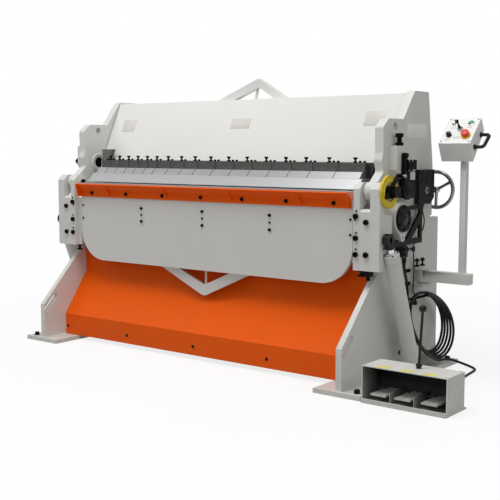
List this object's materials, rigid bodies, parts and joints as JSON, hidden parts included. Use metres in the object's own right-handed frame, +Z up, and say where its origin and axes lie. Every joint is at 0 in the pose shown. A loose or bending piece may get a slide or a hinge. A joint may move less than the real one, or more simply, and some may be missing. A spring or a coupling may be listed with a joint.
{
  "type": "hydraulic sheet metal brake",
  "caption": "Floor-standing hydraulic folding brake with clamping fingers, bending apron, side frames, swing-arm pendant console and foot switch box.",
  "frame": {"origin": "centre of the four anchor holes of the two foot plates, on the floor plane under the plates", "axes": "+X to the operator's right along the bending line, +Y from the front to the rear, +Z up"},
  "size_m": [2.7595, 0.993, 1.504],
  "materials": {
    "cream_paint": "semi-gloss",
    "orange_paint": "semi-gloss",
    "dark_paint": "satin",
    "black_paint": "satin",
    "ground_steel": "ground",
    "black_steel": "oxide black",
    "chrome": "polished",
    "yellow_paint": "gloss",
    "red_plastic": "gloss",
    "green_plastic": "gloss",
    "black_plastic": "matte",
    "black_rubber": "matte",
    "grey_paint": "satin",
    "grey_iron": "as cast"
  },
  "bodies": {
    "frame": {"side_frame_left": "cream_paint", "side_frame_right": "cream_paint", "levelling_screws": "black_steel", "bed_beam": "cream_paint", "bed_plate": "ground_steel", "cross_members": "cream_paint", "front_cover": "orange_paint", "hinge_pins": "ground_steel", "guide_blocks": "cream_paint", "jack_screws": "black_steel", "clamp_cylinders": "cream_paint", "ram_brackets": "cream_paint", "gearbox_bracket": "black_paint", "gearbox_housing": "dark_paint", "bearing_housing": "cream_paint", "bearing_cover": "black_plastic", "limit_switches": "black_plastic", "pendant_bracket": "cream_paint", "foot_box": "cream_paint", "carry_pole": "black_paint", "power_unit": "grey_paint", "cable_fittings": "black_plastic", "cable_hank": "black_rubber", "control_cable": "black_rubber", "foot_cable": "black_rubber", "switch_cable": "black_rubber"},
    "beam": {"beam_body": "cream_paint", "beam_cover": "cream_paint", "nose_bar": "ground_steel", "fingers_3_inch": "ground_steel", "fingers_4_inch": "ground_steel", "fingers_5_inch": "ground_steel", "fingers_6_inch": "ground_steel", "finger_screws": "black_steel", "clamp_rods": "chrome"},
    "apron": {"apron_plate": "cream_paint", "apron_blade": "ground_steel", "apron_angle": "orange_paint", "apron_arm_left": "cream_paint", "apron_arm_right": "cream_paint", "apron_bolts": "black_steel", "apron_adjusters": "black_steel", "angle_dial": "yellow_paint"},
    "ram_barrel_left": {"ram_barrel_left": "cream_paint"},
    "ram_barrel_right": {"ram_barrel_right": "cream_paint"},
    "ram_rod_left": {"ram_rod_left": "chrome"},
    "ram_rod_right": {"ram_rod_right": "chrome"},
    "stop_lever": {"stop_lever": "black_steel"},
    "handwheel": {"handwheel": "chrome"},
    "pendant_arm": {"pendant_arm": "cream_paint"},
    "console": {"console": "cream_paint", "console_handle": "black_plastic"},
    "e_stop": {"e_stop": "red_plastic"},
    "start_button": {"start_button": "green_plastic"},
    "joystick": {"joystick": "black_plastic"},
    "selector_switch": {"selector_switch": "chrome"},
    "speed_knob": {"speed_knob": "black_plastic"},
    "pedal_left": {"pedal_left": "grey_iron"},
    "pedal_middle": {"pedal_middle": "grey_iron"},
    "pedal_right": {"pedal_right": "grey_iron"}
  },
  "joints": [
    {"name": "apron_bend", "type": "hinge", "parent": "frame", "child": "apron", "pos_m": [0, -0.196, 0.92], "axis": [-1, 0, 0], "range_deg": [0, 120]},
    {"name": "beam_clamp", "type": "slide", "parent": "frame", "child": "beam", "axis": [0, 0, 1], "range_m": [-0.0055, 0.085]},
    {"name": "ram_swing_left", "type": "hinge", "parent": "frame", "child": "ram_barrel_left", "pos_m": [-1.125, 0.035, 0.06], "axis": [1, 0, 0], "range_deg": [0, 1.05]},
    {"name": "ram_extend_left", "type": "slide", "parent": "ram_barrel_left", "child": "ram_rod_left", "axis": [0, -0.3694, 0.9293], "range_m": [0, 0.3866]},
    {"name": "ram_swing_right", "type": "hinge", "parent": "frame", "child": "ram_barrel_right", "pos_m": [1.125, 0.035, 0.06], "axis": [1, 0, 0], "range_deg": [0, 1.05]},
    {"name": "ram_extend_right", "type": "slide", "parent": "ram_barrel_right", "child": "ram_rod_right", "axis": [0, -0.3694, 0.9293], "range_m": [0, 0.3866]},
    {"name": "stop_lever_set", "type": "hinge", "parent": "apron", "child": "stop_lever", "pos_m": [1.12, -0.196, 0.92], "axis": [-1, 0, 0], "range_deg": [-85, 10]},
    {"name": "handwheel_spin", "type": "hinge", "parent": "frame", "child": "handwheel", "pos_m": [1.065, 0.368, 0.9105], "axis": [0, 1, 0], "continuous": true},
    {"name": "pendant_swing", "type": "hinge", "parent": "frame", "child": "pendant_arm", "pos_m": [1.085, 0.203, 0.49], "axis": [0, 0, 1], "range_deg": [-25, 45]},
    {"name": "console_swivel", "type": "hinge", "parent": "pendant_arm", "child": "console", "pos_m": [1.296, 0.203, 1.07], "axis": [0, 0, 1], "range_deg": [-30, 30]},
    {"name": "e_stop_push", "type": "slide", "parent": "console", "child": "e_stop", "axis": [0, 0.7129, -0.7013], "range_m": [0, 0.005], "stiffness_N_per_m": 900, "springref_m": -0.002},
    {"name": "start_push", "type": "slide", "parent": "console", "child": "start_button", "axis": [0, 0.7129, -0.7013], "range_m": [0, 0.003], "stiffness_N_per_m": 600, "springref_m": -0.002},
    {"name": "joystick_tilt", "type": "hinge", "parent": "console", "child": "joystick", "pos_m": [1.274, 0.18804, 1.2148], "axis": [1, 0, 0], "range_deg": [-15, 15], "stiffness_Nm_per_rad": 0.8},
    {"name": "selector_turn", "type": "hinge", "parent": "console", "child": "selector_switch", "pos_m": [1.235, 0.21746, 1.239], "axis": [0, -0.7129, 0.7013], "range_deg": [-45, 45]},
    {"name": "speed_turn", "type": "hinge", "parent": "console", "child": "speed_knob", "pos_m": [1.231, 0.16138, 1.182], "axis": [0, -0.7129, 0.7013], "range_deg": [-135, 135]},
    {"name": "pedal_press_left", "type": "hinge", "parent": "frame", "child": "pedal_left", "pos_m": [1.3675, -0.356, 0.04], "axis": [1, 0, 0], "range_deg": [0, 8], "stiffness_Nm_per_rad": 20, "springref_deg": -9.17},
    {"name": "pedal_press_middle", "type": "hinge", "parent": "frame", "child": "pedal_middle", "pos_m": [1.3675, -0.356, 0.04], "axis": [1, 0, 0], "range_deg": [0, 8], "stiffness_Nm_per_rad": 20, "springref_deg": -9.17},
    {"name": "pedal_press_right", "type": "hinge", "parent": "frame", "child": "pedal_right", "pos_m": [1.3675, -0.356, 0.04], "axis": [1, 0, 0], "range_deg": [0, 8], "stiffness_Nm_per_rad": 20, "springref_deg": -9.17}
  ],
  "couplings": [
    {"joint": "ram_swing_left", "follows": "apron_bend", "ratio": 0.007119},
    {"joint": "ram_extend_left", "follows": "apron_bend", "m_per_rad": 0.18365},
    {"joint": "ram_swing_right", "follows": "apron_bend", "ratio": 0.007119},
    {"joint": "ram_extend_right", "follows": "apron_bend", "m_per_rad": 0.18365}
  ]
}
